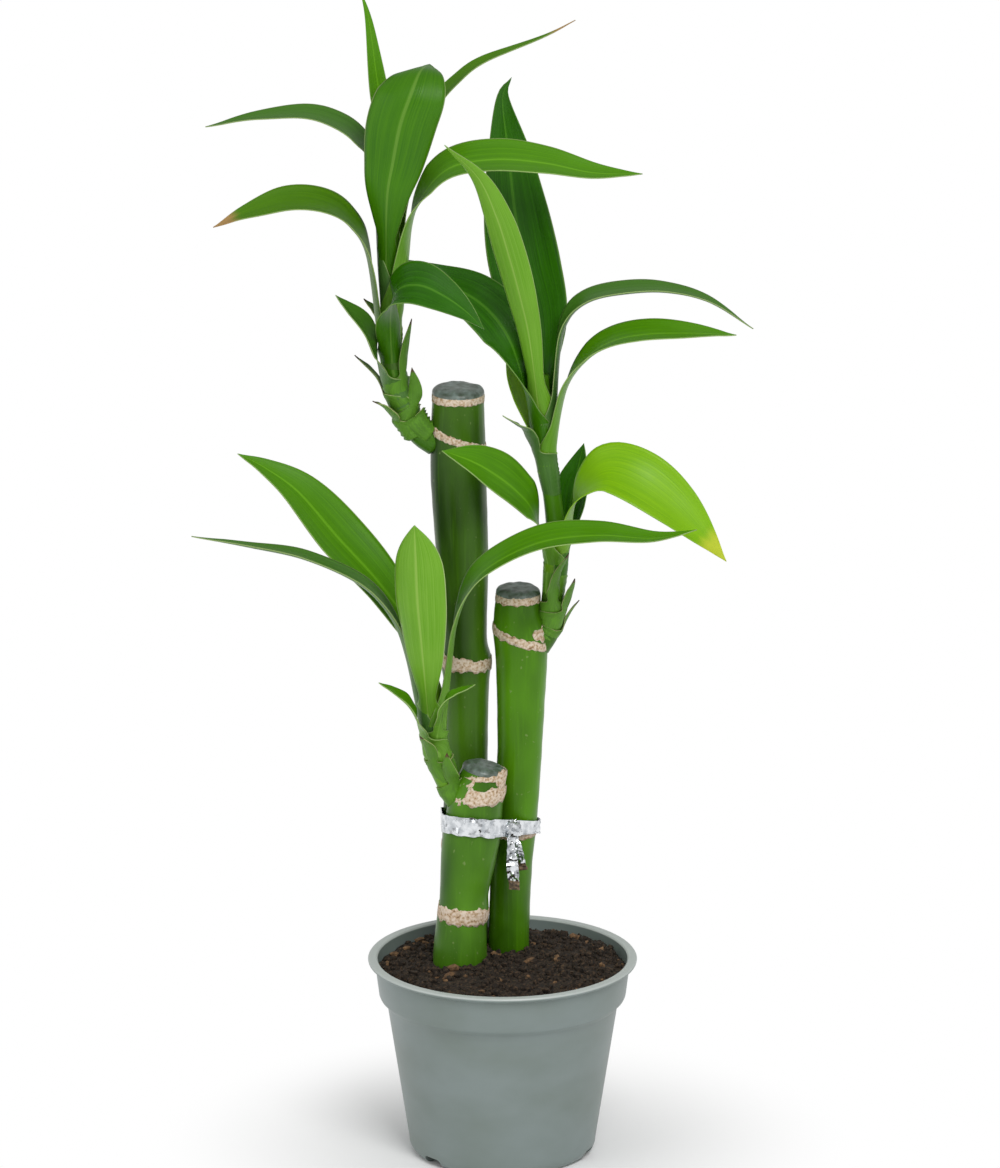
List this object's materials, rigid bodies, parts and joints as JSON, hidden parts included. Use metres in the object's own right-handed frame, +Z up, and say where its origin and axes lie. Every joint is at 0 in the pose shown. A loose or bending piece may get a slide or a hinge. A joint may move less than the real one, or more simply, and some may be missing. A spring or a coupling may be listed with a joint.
{
  "type": "lucky bamboo",
  "caption": "Lucky bamboo in a grey nursery pot: green cut canes with wax-sealed tops and arching leafy shoots, tied with silver foil.",
  "frame": {"origin": "centre of the pot's flat underside", "axes": "+Z up along the pot's axis, -Y the front that shows the tie's knot, +X to the right of that front"},
  "size_m": [0.1863, 0.09, 0.3951],
  "materials": {
    "pot_plastic": "matte",
    "potting_soil": "matte",
    "silver_foil": "satin",
    "cane_green": "satin",
    "sealing_wax": "satin",
    "shoot_green": "satin",
    "leaf_green": "satin",
    "scale_leaf": "matte"
  },
  "bodies": {
    "root": {"pot": "pot_plastic", "soil": "potting_soil", "foil_tie": "silver_foil", "cane_tall": "cane_green", "wax_cap_tall": "sealing_wax", "shoot_tall": "shoot_green", "cane_middle": "cane_green", "wax_cap_middle": "sealing_wax", "shoot_middle": "shoot_green", "cane_short": "cane_green", "wax_cap_short": "sealing_wax", "shoot_short": "shoot_green", "leaf_tall_top": "leaf_green", "leaf_tall_wide": "leaf_green", "leaf_tall_back_right": "leaf_green", "leaf_tall_right_arch": "leaf_green", "leaf_tall_high_left": "leaf_green", "leaf_tall_low_left": "leaf_green", "leaf_tall_front": "leaf_green", "leaf_tall_short_left": "leaf_green", "leaf_middle_tall_back": "leaf_green", "leaf_middle_front": "leaf_green", "leaf_middle_left_dark": "leaf_green", "leaf_middle_right_high": "leaf_green", "leaf_middle_right_low": "leaf_green", "leaf_middle_inner": "leaf_green", "leaf_middle_curl": "leaf_green", "leaf_middle_low_left": "leaf_green", "leaf_middle_low_right": "leaf_green", "leaf_middle_low_back": "leaf_green", "leaf_short_long_left": "leaf_green", "leaf_short_broad_left": "leaf_green", "leaf_short_centre": "leaf_green", "leaf_short_right_arch": "leaf_green", "leaf_short_small_left": "leaf_green", "leaf_short_small_right": "leaf_green", "scale_tall_left_low": "scale_leaf", "scale_tall_left_high": "scale_leaf", "scale_tall_right": "scale_leaf", "scale_tall_front": "scale_leaf", "scale_tall_back": "scale_leaf", "scale_middle_front": "scale_leaf", "scale_middle_right": "scale_leaf", "scale_middle_low": "scale_leaf", "scale_short_low": "scale_leaf", "scale_short_high": "scale_leaf"}
  },
  "joints": []
}
